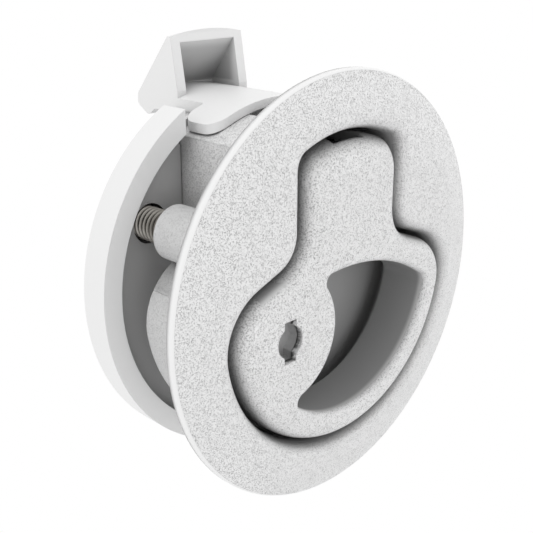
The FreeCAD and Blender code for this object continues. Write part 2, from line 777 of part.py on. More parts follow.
front_slab(lever, "rim_notch", rim_notch, lug_back - V.lock_lug_thickness - V.lock_lug_gap,
           V.rim_back + V.overrun, cut=True)
# The fork's cross wall leans forward at its top; its front face drives the nose of the bolt's leg.
lean = sine(V.cam_tilt)
stand = cosine(V.cam_tilt)
face_gap = V.leg_nose_radius + V.leg_gap
face_depth = V.bolt_axis_depth + stand * face_gap
face_up = nose_up + lean * face_gap


def on_cam(height, behind):
    """A point of the cross wall at a height, so far behind its front face."""
    climb = (height - face_up - lean * behind) / stand
    return (face_depth - lean * climb + stand * behind, height)


tail_front = (face_depth + lean * V.cam_tail, face_up - stand * V.cam_tail)
tail_back = (tail_front[0] + stand * V.cam_thickness, tail_front[1] + lean * V.cam_thickness)
fork = polygon([
    (V.hinge_depth + V.pin_radius, V.fork_low),
    on_cam(V.fork_low, ZERO),
    tail_front,
    tail_back,
    on_cam(fork_top, V.cam_thickness),
    (V.hinge_depth + V.pin_radius, fork_top),
])
side_slab(lever, "fork", fork, -V.fork_outer_half, V.fork_outer_half)
between = polygon([
    (block_back, V.fork_low - 5),
    on_cam(V.fork_low - 5, ZERO),
    on_cam(fork_top + 1, ZERO),
    (block_back, fork_top + 1),
])
side_slab(lever, "fork_opening", between, -V.fork_inner_half, V.fork_inner_half, cut=True)
spring_bay = rectangle(lever_back, V.rim_back + V.overrun, V.hinge_block_low - 2, V.pocket_top_radius)
side_slab(lever, "spring_bay", spring_bay, -V.spring_bay_half, V.spring_bay_half, cut=True)
hinge_bore = circle(V.hinge_depth, V.hinge_up, V.pin_radius + V.pin_clearance)
side_slab(lever, "hinge_bore", hinge_bore, -V.neck_half, V.neck_half, cut=True)

# The slam bolt: eared plate, arm, hollow head with a ramp, and a hub with a leg inside the neck box.
bolt = new_body("slam_bolt")
front_slab(bolt, "eared_plate", arch(V.ear_half, plate_inner, plate_outer), V.plate_front, V.plate_back)
dress(bolt, "ear_round", "Fillet", V.ear_round,
      lambda e: e.BoundBox.YLength < 1e-4 and abs(abs(e.BoundBox.Center.x) - V.ear_half.value) < 1e-4)
run = V.ramp_foot_depth - V.head_front - V.head_lean
head = polygon([
    (V.head_front, V.arm_low),
    (V.head_front, plate_outer),
    (V.head_front + V.head_lean, V.ridge_up),
    (V.ramp_foot_depth - run, V.ridge_up + 0.6),
    (V.ramp_foot_depth, V.ramp_foot_up),
    (V.nose_depth, V.nose_up),
    (V.lip_depth, V.lip_up),
    (V.lip_back_depth, V.arm_low),
])
side_slab(bolt, "head", head, -V.arm_half, V.arm_half)
hollow = polygon([
    (V.head_front - 1, plate_outer - 1),
    (V.hollow_back_depth, plate_outer - 1),
    (V.hollow_back_depth, plate_outer),
    (V.head_front + V.head_lean, V.hollow_top_up),
    (V.head_front - 1, V.hollow_top_up),
])
side_slab(bolt, "hollow", hollow, V.head_wall - V.arm_half, V.arm_half - V.head_wall, cut=True)
front_slab(bolt, "arm", dome(V.arm_half, V.arm_low, plate_outer), V.arm_start, V.hollow_back_depth + 1)
front_slab(bolt, "neck_strip", arch(V.arm_half, plate_inner, plate_outer), V.plate_back - 1, V.arm_start + 1)
front_slab(bolt, "head_crown", arch(V.arm_half + 1, V.head_radius, V.head_radius + 3), V.head_front,
           V.nose_depth, cut=True)
dress(bolt, "ear_root_round", "Fillet", V.ear_root_round,
      lambda e: e.BoundBox.XLength < 1e-4 and e.BoundBox.YLength < 1e-4
      and abs(abs(e.BoundBox.Center.x) - V.arm_half.value) < 1e-4
      and abs(e.BoundBox.Center.y - V.plate_back.value) < 1e-4)
dress(bolt, "lip_round", "Fillet", V.lip_round,
      lambda e: e.BoundBox.XLength > V.arm_half.value * 1.99 and e.BoundBox.YMin > V.lip_depth.value - 1e-4
      and e.BoundBox.YLength < 1e-4)
hub = polygon([
    (V.hub_front, plate_inner + 0.4),
    (V.hub_front, V.hub_shoulder_up),
    (V.bolt_axis_depth - V.hub_radius, V.bolt_axis_up - V.hub_radius / 2),
    (V.bolt_axis_depth, V.bolt_axis_up),
    (V.bolt_axis_depth + V.hub_radius, V.bolt_axis_up),
    (V.hub_back, V.arm_low),
    (V.hub_back, plate_inner + 0.4),
])
side_slab(bolt, "hub", hub, -V.hub_half, V.hub_half)
barrel = circle(V.bolt_axis_depth, V.bolt_axis_up, V.hub_radius)
side_slab(bolt, "hub_barrel", barrel, -V.hub_half, V.hub_half)
nose = (V.bolt_axis_depth, nose_up)
leg_root = (nose[0] - lean * V.leg_length, nose[1] + stand * V.leg_length)
leg = polygon([
    (nose[0] - stand * V.leg_nose_radius, nose[1] - lean * V.leg_nose_radius),
    (nose[0] + stand * V.leg_nose_radius, nose[1] + lean * V.leg_nose_radius),
    (leg_root[0] + stand * V.leg_nose_radius, leg_root[1] + lean * V.leg_nose_radius),
    (leg_root[0] - stand * V.leg_nose_radius, leg_root[1] - lean * V.leg_nose_radius),
])
side_slab(bolt, "leg", leg, -V.leg_half, V.leg_half)
side_slab(bolt, "leg_nose", circle(nose[0], nose[1], V.leg_nose_radius), -V.leg_half, V.leg_half)
upper_pegs = several(
    circle(V.bolt_spring_across, V.bolt_spring_depth, V.spring_peg_radius),
    circle(-V.bolt_spring_across, V.bolt_spring_depth, V.spring_peg_radius),
)
slab(bolt, "spring_pegs", "XY_Plane", upper_pegs, V.arm_low - V.spring_peg_height, V.arm_low + 0.5)
pivot_bore = circle(V.bolt_axis_depth, V.bolt_axis_up, V.pin_radius + V.pin_clearance)
side_slab(bolt, "pivot_bore", pivot_bore, -V.arm_half, V.arm_half, cut=True)

# The clamp cup behind the panel, with its opening for the neck box and two screw holes.
cup = new_body("rear_cup")
cup_inner = V.cup_radius - V.cup_rim_width
turned(cup, "cup", [
    (V.panel_thickness, cup_inner),
    (V.panel_thickness, V.cup_radius),
    (cup_back, V.cup_radius),
    (cup_back, ZERO),
    (cup_floor_front, ZERO),
    (cup_floor_front, cup_inner),
])
dress(cup, "back_edge_round", "Fillet", V.cup_edge_round,
      lambda e: level(e, "y", cup_back) and e.BoundBox.XLength > V.cup_radius.value)
opening_half = neck_outer + V.cup_opening_gap
opening = rectangle(-opening_half, opening_half, V.neck_bottom - V.cup_opening_gap, V.cup_notch_low + 1)
front_slab(cup, "neck_opening", opening, V.panel_thickness - V.overrun, cup_back + V.overrun, cut=True)
notch = rectangle(-V.cup_notch_half, V.cup_notch_half, V.cup_notch_low, V.cup_radius + 1)
front_slab(cup, "bolt_notch", notch, V.panel_thickness - V.overrun, cup_back + V.overrun, cut=True)
cup_holes = several(
    circle(boss_across, V.boss_up, V.cup_hole_radius),
    circle(-boss_across, V.boss_up, V.cup_hole_radius),
)
front_slab(cup, "screw_holes", cup_holes, cup_floor_front - 1, cup_back + V.overrun, cut=True)


def pin(label, depth, up, half):
    """A cross pin along X with chamfered ends."""
    piece = new_body(label)
    side_slab(piece, label + "_rod", circle(ZERO, ZERO, V.pin_radius), -half, half)
    dress(piece, label + "_ends", "Chamfer", V.pin_chamfer,
          lambda e: level(e, "x", half) or level(e, "x", -half))
    seat(piece, ZERO, depth, up)
    return piece


lever_pin = pin("lever_pin", V.hinge_depth, V.hinge_up, lever_pin_half)
bolt_pin = pin("bolt_pin", V.bolt_axis_depth, V.bolt_axis_up, bolt_pin_half)


def coil(name, radius, turns, height, across, depth, up, turn):
    """A coil of round wire that starts at its local +X side and climbs its local Z axis."""
    path = doc.addObject("Part::Helix", name + "_path")
    path.setExpression("Radius", radius.formula)
    path.setExpression("Height", height.formula)
    path.setExpression("Pitch", (height / turns).formula)
    path.Placement = FreeCAD.Placement(Vector(0, 0, 0), turn)
    seat(path, across, depth, up)
    start = turn.multVec(Vector(1, 0, 0))
    wire = doc.addObject("Part::Circle", name + "_wire")
    wire.setExpression("Radius", V.spring_wire_radius.formula)
    wire.Placement = FreeCAD.Placement(Vector(0, 0, 0), FreeCAD.Rotation(Vector(1, 0, 0), 90))
    seat(wire, across + radius * start.x, depth + radius * start.y, up + radius * start.z)
    sweep = doc.addObject("Part::Sweep", name)
    sweep.Sections = [wire]
    sweep.Spine = (path, [])
    sweep.Solid = True
    sweep.Frenet = True
    doc.recompute()
    return sweep


def leg_of_wire(name, length, across, depth, up, turn):
    rod = doc.addObject("Part::Cylinder", name)
    rod.setExpression("Radius", V.spring_wire_radius.formula)
    rod.setExpression("Height", length.formula)
    rod.Placement = FreeCAD.Placement(Vector(0, 0, 0), turn)
    seat(rod, across, depth, up)
    return rod


# The lever's torsion spring on its pin: one leg on the pocket floor, one behind the lever's plate.
spring_width = V.lever_spring_pitch * V.lever_spring_turns
along_pin = FreeCAD.Rotation(Vector(0, 0, 1), Vector(0, -1, 0), Vector(1, 0, 0))
lever_coil = coil("lever_spring_coil", V.lever_spring_radius, V.lever_spring_turns, spring_width,
                  -spring_width / 2, V.hinge_depth, V.hinge_up, along_pin)
floor_leg = leg_of_wire("lever_spring_floor_leg", V.pocket_depth - V.hinge_depth - V.spring_leg_gap,
                        -spring_width / 2, V.hinge_depth, V.hinge_up + V.lever_spring_radius,
                        FreeCAD.Rotation(Vector(1, 0, 0), -90))
plate_leg = leg_of_wire("lever_spring_plate_leg", V.spring_leg_long, spring_width / 2,
                        V.hinge_depth - V.lever_spring_radius, V.hinge_up,
                        FreeCAD.Rotation(Vector(1, 0, 0), 180))
lever_spring = doc.addObject("Part::MultiFuse", "lever_spring")
lever_spring.Shapes = [lever_coil, floor_leg, plate_leg]
lever_spring.Label = "lever_spring"

# The two compression springs under the bolt's arm.
coil_height = V.arm_low - V.bolt_spring_end_gap - V.shelf_top - V.spring_wire_radius * 2
bolt_springs = []
for label, across in (("bolt_spring_left", -V.bolt_spring_across), ("bolt_spring_right", V.bolt_spring_across)):
    spring = coil(label, V.bolt_spring_radius, V.bolt_spring_turns, coil_height, across, V.bolt_spring_depth,
                  V.shelf_top + V.spring_wire_radius, FreeCAD.Rotation())
    spring.Label = label
    bolt_springs.append(spring)


def screw(label, across):
    """A pan head machine screw with a cross recess."""
    piece = new_body(label)
    front_slab(piece, label + "_shank", circle(ZERO, ZERO, V.screw_radius), -V.screw_length, ZERO)
    front_slab(piece, label + "_head", circle(ZERO, ZERO, V.screw_head_radius), ZERO, V.screw_head_height)
    dress(piece, label + "_crown", "Fillet", V.screw_head_round, lambda e: level(e, "y", V.screw_head_height))
    recess_low = V.screw_head_height - V.recess_depth
    for name, wide, tall in (("_bar", V.recess_half, V.recess_slot_half), ("_post", V.recess_slot_half, V.recess_half)):
        front_slab(piece, label + name, rectangle(-wide, wide, -tall, tall), recess_low,
                   V.screw_head_height + 1, cut=True)
    seat(piece, across, screw_seat, V.boss_up)
    return piece


def washer(label, across):
    piece = new_body(label)
    both = several(circle(ZERO, ZERO, V.washer_outer), circle(ZERO, ZERO, V.washer_inner))
    front_slab(piece, label + "_ring", both, ZERO, V.washer_thickness)
    seat(piece, across, cup_back, V.boss_up)
    return piece


def insert(label, across):
    """A threaded bush sunk in its boss."""
    piece = new_body(label)
    both = several(circle(ZERO, ZERO, V.insert_radius), circle(ZERO, ZERO, V.screw_radius + V.insert_fit))
    front_slab(piece, label + "_bush", both, V.insert_front - V.body_depth, ZERO)
    seat(piece, across, V.body_depth, V.boss_up)
    return piece


fixings = []
for side, across in (("left", -boss_across), ("right", boss_across)):
    fixings.append(screw("cup_screw_" + side, across))
    fixings.append(washer("screw_washer_" + side, across))
    fixings.append(insert("boss_insert_" + side, across))

# The lock: plug, retaining ring, cam plate and the screw that holds it.
plug = new_body("lock_plug")
front_slab(plug, "plug_body", circle(ZERO, ZERO, V.plug_radius), plug_front, V.plug_shoulder)
front_slab(plug, "plug_neck", circle(ZERO, ZERO, V.plug_neck_radius), V.plug_shoulder, cam_plate_front)
square = rectangle(-V.plug_square_half, V.plug_square_half, -V.plug_square_half, V.plug_square_half)
front_slab(plug, "plug_square", square, cam_plate_front, cam_plate_back)
recess_back = plug_front + V.key_recess_depth
front_slab(plug, "recess_eye", circle(ZERO, ZERO, V.key_eye_radius), plug_front - V.overrun, recess_back, cut=True)
recess_slot = rectangle(-V.key_slot_half, V.key_slot_half, -V.key_slot_reach, V.key_slot_reach)
front_slab(plug, "recess_slot", recess_slot, plug_front - V.overrun, recess_back, cut=True)
front_slab(plug, "cam_screw_hole", circle(ZERO, ZERO, V.cam_screw_radius + V.cam_screw_fit),
           cam_plate_back - V.cam_screw_length, cam_plate_back + V.overrun, cut=True)
seat(plug, V.lock_across, ZERO, V.lock_up)

ring = new_body("plug_ring")
ring_faces = several(circle(ZERO, ZERO, V.ring_outer), circle(ZERO, ZERO, V.ring_inner))
front_slab(ring, "ring", ring_faces, ring_front, ring_back)
ring_gap = rectangle(-V.ring_gap_half, V.ring_gap_half, ZERO, V.ring_outer + 1)
front_slab(ring, "ring_gap", ring_gap, ring_front - 1, ring_back + 1, cut=True)
seat(ring, V.lock_across, ZERO, V.lock_up)

cam_plate = new_body("lock_cam")
front_slab(cam_plate, "cam_hub", circle(ZERO, ZERO, V.cam_plate_hub), cam_plate_front, cam_plate_back)
finger = rectangle(-V.cam_plate_half, V.cam_plate_half, -V.cam_plate_reach, ZERO)
front_slab(cam_plate, "cam_finger", finger, cam_plate_front, cam_plate_back)
dress(cam_plate, "cam_end_round", "Fillet", V.cam_plate_round,
      lambda e: upright(e, V.cam_plate_half.value, -V.cam_plate_reach.value)
      or upright(e, -V.cam_plate_half.value, -V.cam_plate_reach.value))
square_hole_half = V.plug_square_half + V.pin_clearance
square_hole = rectangle(-square_hole_half, square_hole_half, -square_hole_half, square_hole_half)
front_slab(cam_plate, "cam_square_hole", square_hole, cam_plate_front - 1, cam_plate_back + V.overrun, cut=True)
seat(cam_plate, V.lock_across, ZERO, V.lock_up)

cam_screw = new_body("cam_screw")
front_slab(cam_screw, "cam_screw_shank", circle(ZERO, ZERO, V.cam_screw_radius),
           cam_plate_back - V.cam_screw_length + 0.2, cam_plate_back)
head_back = cam_plate_back + V.cam_screw_head_height
front_slab(cam_screw, "cam_screw_head", circle(ZERO, ZERO, V.cam_screw_head), cam_plate_back, head_back)
slit = rectangle(-V.cam_screw_head - 1, V.cam_screw_head + 1, -V.slit_half, V.slit_half)
front_slab(cam_screw, "cam_screw_slit", slit, head_back - 0.7, head_back + 1, cut=True)
seat(cam_screw, V.lock_across, ZERO, V.lock_up)

pieces = [housing, lever, bolt, cup, lever_pin, bolt_pin, lever_spring, plug, ring, cam_plate, cam_screw]
pieces += bolt_springs + fixings
doc.recompute()
for item in doc.Objects:
    if "Invalid" in item.State or "Error" in item.State:
        raise RuntimeError("%s did not build" % item.Label)
for piece in pieces:
    if piece.Shape.isNull() or not piece.Shape.isValid() or len(piece.Shape.Solids) != 1:
        raise RuntimeError("%s is not one sound solid" % piece.Label)
os.makedirs("parts", exist_ok=True)
for piece in pieces:
    piece.Shape.exportStep("parts/%s.step" % piece.Label)
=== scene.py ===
import bpy
import math
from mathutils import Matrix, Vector


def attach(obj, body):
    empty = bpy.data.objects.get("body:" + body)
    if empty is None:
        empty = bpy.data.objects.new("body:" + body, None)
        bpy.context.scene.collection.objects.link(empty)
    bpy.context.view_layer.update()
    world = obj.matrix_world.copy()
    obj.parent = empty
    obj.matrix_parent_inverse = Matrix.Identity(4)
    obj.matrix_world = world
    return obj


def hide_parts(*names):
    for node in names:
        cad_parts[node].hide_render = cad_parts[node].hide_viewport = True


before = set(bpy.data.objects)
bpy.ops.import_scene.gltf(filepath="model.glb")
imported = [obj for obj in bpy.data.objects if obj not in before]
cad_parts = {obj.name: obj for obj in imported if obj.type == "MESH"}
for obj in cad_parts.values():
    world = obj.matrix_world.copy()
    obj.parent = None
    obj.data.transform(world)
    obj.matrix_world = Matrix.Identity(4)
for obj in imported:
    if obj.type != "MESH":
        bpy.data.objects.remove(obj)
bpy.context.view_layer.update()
scene = bpy.context.scene

MM = 0.001
WHITE = (1, 1, 1, 1)
BLACK = (0, 0, 0, 1)

# The clamp screws, in millimetres: how far aside and up their axes are, where the tip of the thread is,
# and where the head sits on its washer.
SCREW_ASIDE = 18.85
SCREW_UP = 9.9
SCREW_TIP = 6.37
SCREW_SEAT = 22.37

# Points of one mesh that are nearer than this are the same point.
SAME_POINT = 0.002 * MM


# The camera stands at the photograph's place: above, to the left and in front of the latch.
def add_camera():
    place = Vector((-93.48, -78.78, 48.00)) * MM
    aim = Vector((0.6655, 0.6623, -0.3442))
    data = bpy.data.cameras.new("view_camera")
    data.lens = 60.41
    data.sensor_width = 36
    data.clip_start = 0.005
    data.clip_end = 5
    camera = bpy.data.objects.new("view_camera", data)
    camera.location = place
    camera.rotation_euler = aim.to_track_quat("-Z", "Y").to_euler()
    scene.collection.objects.link(camera)
    scene.camera = camera


# Small helpers for shader nodes. A value is a plain number or colour, or another node's output.
def new_material(name):
    material = bpy.data.materials.new(name)
    material.use_nodes = True
    tree = material.node_tree
    return material, tree, tree.nodes["Principled BSDF"]


def feed(tree, value, socket):
    if isinstance(value, bpy.types.NodeSocket):
        tree.links.new(value, socket)
    else:
        socket.default_value = value


def calculate(tree, operation, first, second=0):
    node = tree.nodes.new("ShaderNodeMath")
    node.operation = operation
    feed(tree, first, node.inputs[0])
    feed(tree, second, node.inputs[1])
    return node.outputs[0]


def blend_values(tree, factor, first, second):
    node = tree.nodes.new("ShaderNodeMix")
    for socket, value in ((0, factor), (2, first), (3, second)):
        feed(tree, value, node.inputs[socket])
    return node.outputs[0]


def blend_colours(tree, factor, first, second):
    node = tree.nodes.new("ShaderNodeMix")
    node.data_type = "RGBA"
    for socket, value in ((0, factor), (6, first), (7, second)):
        feed(tree, value, node.inputs[socket])
    return node.outputs[2]


def object_place(tree):
    return tree.nodes.new("ShaderNodeTexCoord").outputs["Object"]


def object_axes(tree):
    split = tree.nodes.new("ShaderNodeSeparateXYZ")
    tree.links.new(object_place(tree), split.inputs[0])
    return split.outputs[0], split.outputs[1], split.outputs[2]


def noise(tree, place, scale, detail, roughness=0.5, output="Fac"):
    node = tree.nodes.new("ShaderNodeTexNoise")
    feed(tree, scale, node.inputs["Scale"])
    node.inputs["Detail"].default_value = detail
    node.inputs["Roughness"].default_value = roughness
    tree.links.new(place, node.inputs["Vector"])
    return node.outputs[output]


def bump(tree, height, strength, distance, shader, edges=None):
    """Relief for a shader, laid over softened edges where there are any."""
    node = tree.nodes.new("ShaderNodeBump")
    if edges:
        tree.links.new(edges, node.inputs["Normal"])
    node.inputs["Strength"].default_value = strength
    node.inputs["Distance"].default_value = distance
    tree.links.new(height, node.inputs["Height"])
    tree.links.new(node.outputs["Normal"], shader.inputs["Normal"])


# Masks, from 0 to 1.
def rise(tree, value, low, high):
    """Climbs smoothly between two values."""
    node = tree.nodes.new("ShaderNodeMapRange")
    node.interpolation_type = "SMOOTHSTEP"
    node.inputs["From Min"].default_value = low
    node.inputs["From Max"].default_value = high
    tree.links.new(value, node.inputs["Value"])
    return node.outputs["Result"]


def fall(tree, value, low, high):
    """Sinks smoothly between two values."""
    return calculate(tree, "SUBTRACT", 1.0, rise(tree, value, low, high))


def below(tree, value, limit):
    return calculate(tree, "LESS_THAN", value, limit)


def beyond(tree, value, limit):
    return calculate(tree, "GREATER_THAN", value, limit)


def all_of(tree, mask, *others):
    """Where all of the masks hold."""
    for other in others:
        mask = calculate(tree, "MULTIPLY", mask, other)
    return mask


def any_of(tree, mask, *others):
    """Where any of the masks holds."""
    for other in others:
        mask = calculate(tree, "MAXIMUM", mask, other)
    return mask


def distance_aside(tree, across):
    return calculate(tree, "ABSOLUTE", across)


def radius_from(tree, first, second):
    squares = [calculate(tree, "POWER", value, 2) for value in (first, second)]
    return calculate(tree, "SQRT", calculate(tree, "ADD", *squares))


# Effects that several materials share, each a node group.
def new_group(name, inputs, outputs):
    group = bpy.data.node_groups.new(name, "ShaderNodeTree")
    for direction, sockets in (("INPUT", inputs), ("OUTPUT", outputs)):
        for label, kind in sockets:
            group.interface.new_socket(label, in_out=direction, socket_type="NodeSocket" + kind)
    return group, group.nodes.new("NodeGroupInput").outputs, group.nodes.new("NodeGroupOutput").inputs


def build_moulded_grain():
    """An orange peel with short broken creases between its pads, as etched into a mould."""
    group, given, result = new_group("moulded_grain", [("Fineness", "Float")],
                                     [("Height", "Float"), ("Crease", "Float")])
    wander, crease_width, speck_finer = 0.5 * MM, 0.06, 1.7
    speck_low, speck_high = 0.38, 0.58
    peel_height, crease_depth = 0.7, 0.35
    place = object_place(group)
    shift = group.nodes.new("ShaderNodeVectorMath")
    shift.operation = "MULTIPLY_ADD"
    shift.inputs[1].default_value = (wander, wander, wander)
    group.links.new(noise(group, place, given["Fineness"], 1.0, output="Color"), shift.inputs[0])
    group.links.new(place, shift.inputs[2])
    folds = noise(group, shift.outputs[0], given["Fineness"], 2.0, 0.55)
    from_fold = calculate(group, "ABSOLUTE", calculate(group, "SUBTRACT", folds, 0.5))
    speck = noise(group, place, calculate(group, "MULTIPLY", given["Fineness"], speck_finer), 2.0)
    crease = fall(group, from_fold, 0.0, crease_width)
    broken = all_of(group, crease, rise(group, speck, speck_low, speck_high))
    height = calculate(group, "SUBTRACT", calculate(group, "MULTIPLY", speck, peel_height),
                       calculate(group, "MULTIPLY", broken, crease_depth))
    group.links.new(height, result["Height"])
    group.links.new(broken, result["Crease"])
    return group


def build_moulding_flow():
    """Faint uneven colour and gloss, as the melt leaves them in any moulded wall."""
    sockets = [("Colour", "Color"), ("Roughness", "Float")]
    group, given, result = new_group("moulding_flow", sockets, sockets)
    cloud_scale, cloud_share = 45, 0.03
    haze_scale, haze_share = 260, 0.12
    place = object_place(group)
    cloud = calculate(group, "MULTIPLY", noise(group, place, cloud_scale, 2), cloud_share)
    haze = calculate(group, "MULTIPLY", noise(group, place, haze_scale, 3), haze_share)
    group.links.new(blend_colours(group, cloud, given["Colour"], BLACK), result["Colour"])
    group.links.new(calculate(group, "ADD", given["Roughness"], haze), result["Roughness"])
    return group


def build_metal_marks():
    """Marks of drawing, turning or plating on metal, with a little tarnish between them."""
    group, given, result = new_group("metal_marks", [("Stretch", "Vector"), ("Fineness", "Float")],
                                     [("Marks", "Float"), ("Tarnish", "Float")])
    tarnish_scale = 160
    place = object_place(group)
    stretch = group.nodes.new("ShaderNodeVectorMath")
    stretch.operation = "MULTIPLY"
    group.links.new(place, stretch.inputs[0])
    group.links.new(given["Stretch"], stretch.inputs[1])
    group.links.new(noise(group, stretch.outputs[0], given["Fineness"], 3.0), result["Marks"])
    group.links.new(noise(group, place, tarnish_scale, 3), result["Tarnish"])
    return group


MOULDED_GRAIN = build_moulded_grain()
MOULDING_FLOW = build_moulding_flow()
METAL_MARKS = build_metal_marks()


def place_group(tree, group, **values):
    node = tree.nodes.new("ShaderNodeGroup")
    node.node_tree = group
    for name, value in values.items():
        node.inputs[name].default_value = value
    return node


def moulded_plastic(name, colour, roughness, edge, grained=None, painted_shade_mask=None,
                    painted_shade_tone=0.5, crease_painted_shade_share=0.45):
    """Pale moulded plastic with its edges softened to a radius.

    The mask grained says where the mould was etched; the second mask says where deep walls get painted shade,
    darkened by the shade tone. Inner corners and the creases of the grain get painted shade everywhere.
    """
    samples, corner_reach, corner_open, corner_share = 6, 5 * MM, 0.85, 0.75
    # Colours of painted shade, for inner corners and for the creases of the grain.
    painted_corner_colour, painted_crease_colour = (0.16, 0.16, 0.16, 1), (0.10, 0.10, 0.10, 1)
    grain_fineness, grain_relief = 3000.0, 0.16 * MM
    ripple_scale, ripple_strength, ripple_relief = 500, 0.15, 0.01 * MM
    gloss_level = 0.35
    material, tree, shader = new_material(name)
    across, depth, up = object_axes(tree)
    flow = place_group(tree, MOULDING_FLOW, Roughness=roughness)
    pale = colour
    # Painted shade: where the mask holds, the base colour darkens towards a deeper tone of itself.
    if painted_shade_mask:
        deep = tuple(part * painted_shade_tone for part in colour[:3]) + (1,)
        pale = blend_colours(tree, painted_shade_mask(tree, across, depth, up), colour, deep)
    soft = tree.nodes.new("ShaderNodeBevel")
    soft.samples = samples
    soft.inputs["Radius"].default_value = edge
    # Painted shade: an occlusion test darkens inner corners in the base colour.
    corner = tree.nodes.new("ShaderNodeAmbientOcclusion")
    corner.samples = samples
    corner.inputs["Distance"].default_value = corner_reach
    corner_painted_shade = calculate(tree, "MULTIPLY", fall(tree, corner.outputs["AO"], 0.0, corner_open), corner_share)
    pale = blend_colours(tree, corner_painted_shade, pale, painted_corner_colour)
    if grained:
        covered = grained(tree, across, depth, up)
        grain = place_group(tree, MOULDED_GRAIN, Fineness=grain_fineness)
        # Painted shade: the grain's creases are darkened in the base colour; the relief below is bump.
        crease = calculate(tree, "MULTIPLY", all_of(tree, grain.outputs["Crease"], covered), crease_painted_shade_share)
        pale = blend_colours(tree, crease, pale, painted_crease_colour)
        height = calculate(tree, "MULTIPLY", grain.outputs["Height"], covered)
        bump(tree, height, 1.0, grain_relief, shader, soft.outputs["Normal"])
    else:
        ripple = noise(tree, object_place(tree), ripple_scale, 1)
        bump(tree, ripple, ripple_strength, ripple_relief, shader, soft.outputs["Normal"])
    feed(tree, pale, flow.inputs["Colour"])
    tree.links.new(flow.outputs["Colour"], shader.inputs["Base Color"])
    tree.links.new(flow.outputs["Roughness"], shader.inputs["Roughness"])
    shader.inputs["Specular IOR Level"].default_value = gloss_level
    return material


def housing_grained(tree, across, depth, up):
    """The flange's front, the outside of the neck box and, more faintly, the body behind the flange."""
    rolled_edge, flange_radius, seat = -1.2 * MM, 31.45 * MM, 0.1 * MM
    box_side, box_skin, box_roof, box_foot = 12.5 * MM, 12.65 * MM, 24.8 * MM, 2.4 * MM
    body_radius, body_strength = 20.0 * MM, 0.6
    radius = radius_from(tree, across, up)
    aside = distance_aside(tree, across)
    front = all_of(tree, below(tree, depth, rolled_edge), below(tree, radius, flange_radius))
    behind = beyond(tree, depth, seat)
    outside = any_of(tree, beyond(tree, aside, box_side), beyond(tree, radius, box_roof))
    neck = all_of(tree, behind, below(tree, aside, box_skin), outside, beyond(tree, up, box_foot))
    body = all_of(tree, behind, beyond(tree, radius, body_radius))
    return any_of(tree, front, neck, calculate(tree, "MULTIPLY", body, body_strength))


def housing_painted_shade(tree, across, depth, up):
    """Where shade is painted: the pocket's wall and floor, and less so the body beside and below the neck box,
    behind the flange.
    """
    pocket_from, pocket_to, pocket_end = 23.8 * MM, 24.4 * MM, 8.7 * MM
    mouth_from, mouth_to = -3.0 * MM, -1.1 * MM
    box_skin, box_foot = 12.7 * MM, 2.4 * MM
    seat_from, seat_to, behind_share = 0.1 * MM, 2.0 * MM, 0.42
    inside = fall(tree, radius_from(tree, across, up), pocket_from, pocket_to)
    pocket = all_of(tree, inside, rise(tree, depth, mouth_from, mouth_to), below(tree, depth, pocket_end))
    beside = any_of(tree, beyond(tree, distance_aside(tree, across), box_skin), below(tree, up, box_foot))
    behind = all_of(tree, beside, rise(tree, depth, seat_from, seat_to))
    return any_of(tree, pocket, calculate(tree, "MULTIPLY", behind, behind_share))


def finger_hole_zone(tree, across, up):
    """Where the lever is seen from the front through its finger hole."""
    zone_top, zone_radius = 5.2 * MM, 18.25 * MM
    return all_of(tree, below(tree, up, zone_top), below(tree, radius_from(tree, across, up), zone_radius))


def lever_grained(tree, across, depth, up):
    """The lever's front and its rounded outer edge; inside the finger hole, the front alone."""
    front_from, front_to = -2.9 * MM, -2.5 * MM
    skirt_from, skirt_to = -0.6 * MM, 0.4 * MM
    front = fall(tree, depth, front_from, front_to)
    skirt = fall(tree, depth, skirt_from, skirt_to)
    return blend_values(tree, finger_hole_zone(tree, across, up), skirt, front)


def lever_painted_shade(tree, across, depth, up):
    """Where shade is painted: the wall of the finger hole, the lower part of the rounded edge and all that lies
    deeper.
    """
    hole_from, hole_to = -3.2 * MM, -1.8 * MM
    edge_from, edge_to = -3.5 * MM, -0.6 * MM
    hole = all_of(tree, finger_hole_zone(tree, across, up), rise(tree, depth, hole_from, hole_to))
    return any_of(tree, hole, rise(tree, depth, edge_from, edge_to))


def cup_painted_shade(tree, across, depth, up):
    """Where shade is painted: the cup's floor and the inside of its wall."""
    wall_from, wall_to = 26.42 * MM, 26.5 * MM
    rim_from, rim_to, floor_end = 16.1 * MM, 17.2 * MM, 19.4 * MM
    inside = fall(tree, radius_from(tree, across, up), wall_from, wall_to)
    return all_of(tree, inside, rise(tree, depth, rim_from, rim_to), below(tree, depth, floor_end))


def bolt_painted_shade(tree, across, depth, up):
    """Where shade is painted: the hollow in the front of the bolt's head, within its side walls and under its
    ramp and roof.
    """
    half_width, roof = 5.6 * MM, 33.8 * MM
    ramp_depth, ramp_up, ramp_reach = 0.745, 0.667, 42.6 * MM
    floor_from, floor_to = 26.5 * MM, 26.9 * MM
    front_from, front_to = 26.6 * MM, 28.4 * MM
    ramp = calculate(tree, "ADD", calculate(tree, "MULTIPLY", depth, ramp_depth),
                     calculate(tree, "MULTIPLY", up, ramp_up))
    return all_of(tree, below(tree, distance_aside(tree, across), half_width), below(tree, ramp, ramp_reach),
                below(tree, up, roof), rise(tree, up, floor_from, floor_to),
                rise(tree, depth, front_from, front_to))


